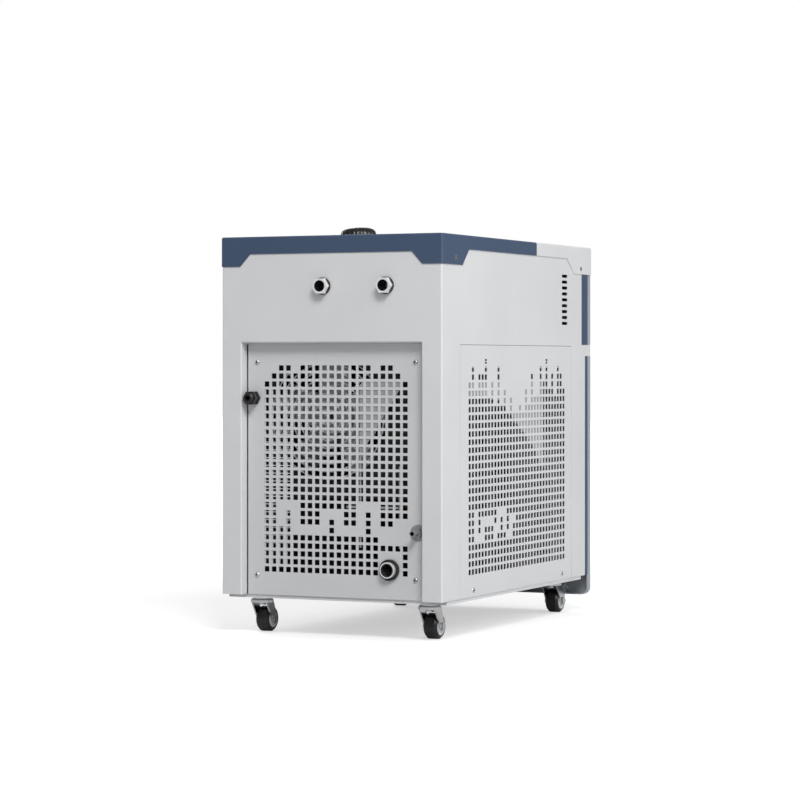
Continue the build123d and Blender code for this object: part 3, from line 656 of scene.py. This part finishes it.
# Camera: level, at the photograph's azimuth, placed from the right rear corner
view = {
    "yaw": 25.23, "distance": 3.9107, "aside": 0.0606, "height": 0.4067,
    "lens": 122.05, "sensor": 36, "shiftY": -0.0474,
}
yaw = math.radians(view["yaw"])
forward = Vector((math.sin(yaw), -math.cos(yaw), 0))
rightward = Vector((forward.y, -forward.x, 0))
corner = Vector((-wrapX, backY, view["height"]))
cameraData = bpy.data.cameras.new("camera")
cameraData.lens = view["lens"]
cameraData.sensor_width = view["sensor"]
cameraData.shift_y = view["shiftY"]
camera = addObject("camera", cameraData)
camera.location = corner - forward * view["distance"] - rightward * view["aside"]
camera.rotation_euler = (math.pi / 2, 0, math.pi + yaw)
bpy.context.scene.camera = camera

# White studio: a floor that glows for the camera, a world and three large soft lamps.
# A lamp is its place, the length of its side and its power.
studio = {
    "worldStrength": 0.3, "floorSize": 14, "floorGrey": 0.6, "floorRough": 0.9,
    "floorGlow": (0.5, 1.0), "glowStart": 0.9, "glowEnd": 2.4, "aim": (0, 0, 0.3),
    "lamps": {
        "keyLamp": ((-1.9, 2.6, 3.0), 1.4, 110),
        "sideLamp": ((-3.6, 0.4, 2.0), 2.4, 60),
        "fillLamp": ((2.8, -2.8, 2.2), 2.4, 90),
    },
}


# The camera sees a white world, and all else is lit by a dimmer one
def makeWorld():
    world = bpy.data.worlds.new("studio")
    bpy.context.scene.world = world
    world.use_nodes = True
    tree = world.node_tree
    tree.nodes.clear()
    out = tree.nodes.new("ShaderNodeOutputWorld")
    light = tree.nodes.new("ShaderNodeBackground")
    white = tree.nodes.new("ShaderNodeBackground")
    light.inputs["Color"].default_value = (1, 1, 1, 1)
    white.inputs["Color"].default_value = (1, 1, 1, 1)
    light.inputs["Strength"].default_value = studio["worldStrength"]
    mix = tree.nodes.new("ShaderNodeMixShader")
    path = tree.nodes.new("ShaderNodeLightPath")
    seen = tree.nodes.new("ShaderNodeMath")
    seen.operation = "MAXIMUM"
    tree.links.new(path.outputs["Is Camera Ray"], seen.inputs[0])
    tree.links.new(path.outputs["Is Transmission Ray"], seen.inputs[1])
    tree.links.new(seen.outputs[0], mix.inputs["Fac"])
    tree.links.new(light.outputs[0], mix.inputs[1])
    tree.links.new(white.outputs[0], mix.inputs[2])
    tree.links.new(mix.outputs[0], out.inputs["Surface"])


def makeFloor():
    bm = bmesh.new()
    bmesh.ops.create_grid(bm, x_segments=1, y_segments=1, size=studio["floorSize"])
    mesh = bpy.data.meshes.new("studioFloor")
    bm.to_mesh(mesh)
    bm.free()
    floor = addObject("studioFloor", mesh)
    material, tree, shader, vector = newMaterial("white floor")
    shader.inputs["Base Color"].default_value = [studio["floorGrey"]] * 3 + [1]
    shader.inputs["Roughness"].default_value = studio["floorRough"]
    glow = tree.nodes.new("ShaderNodeEmission")
    path = tree.nodes.new("ShaderNodeLightPath")
    reach = tree.nodes.new("ShaderNodeVectorMath")
    reach.operation = "LENGTH"
    fade = addRange(tree, reach.outputs["Value"], *studio["floorGlow"])
    fade.node.inputs["From Min"].default_value = studio["glowStart"]
    fade.node.inputs["From Max"].default_value = studio["glowEnd"]
    scale = tree.nodes.new("ShaderNodeMath")
    scale.operation = "MULTIPLY"
    add = tree.nodes.new("ShaderNodeAddShader")
    tree.links.new(vector, reach.inputs[0])
    tree.links.new(path.outputs["Is Camera Ray"], scale.inputs[0])
    tree.links.new(fade, scale.inputs[1])
    tree.links.new(scale.outputs[0], glow.inputs["Strength"])
    tree.links.new(shader.outputs[0], add.inputs[0])
    tree.links.new(glow.outputs[0], add.inputs[1])
    tree.links.new(add.outputs[0], tree.nodes["Material Output"].inputs["Surface"])
    mesh.materials.append(material)


def makeLamp(name, place, size, power):
    data = bpy.data.lights.new(name, "AREA")
    data.shape = "SQUARE"
    data.size = size
    data.energy = power
    lamp = addObject(name, data)
    lamp.location = place
    aim = Vector(studio["aim"]) - Vector(place)
    lamp.rotation_euler = aim.to_track_quat("-Z", "Y").to_euler()


makeWorld()
makeFloor()
for lampName, lamp in studio["lamps"].items():
    makeLamp(lampName, *lamp)
bpy.context.scene.view_settings.view_transform = "Standard"
print("studio ready")
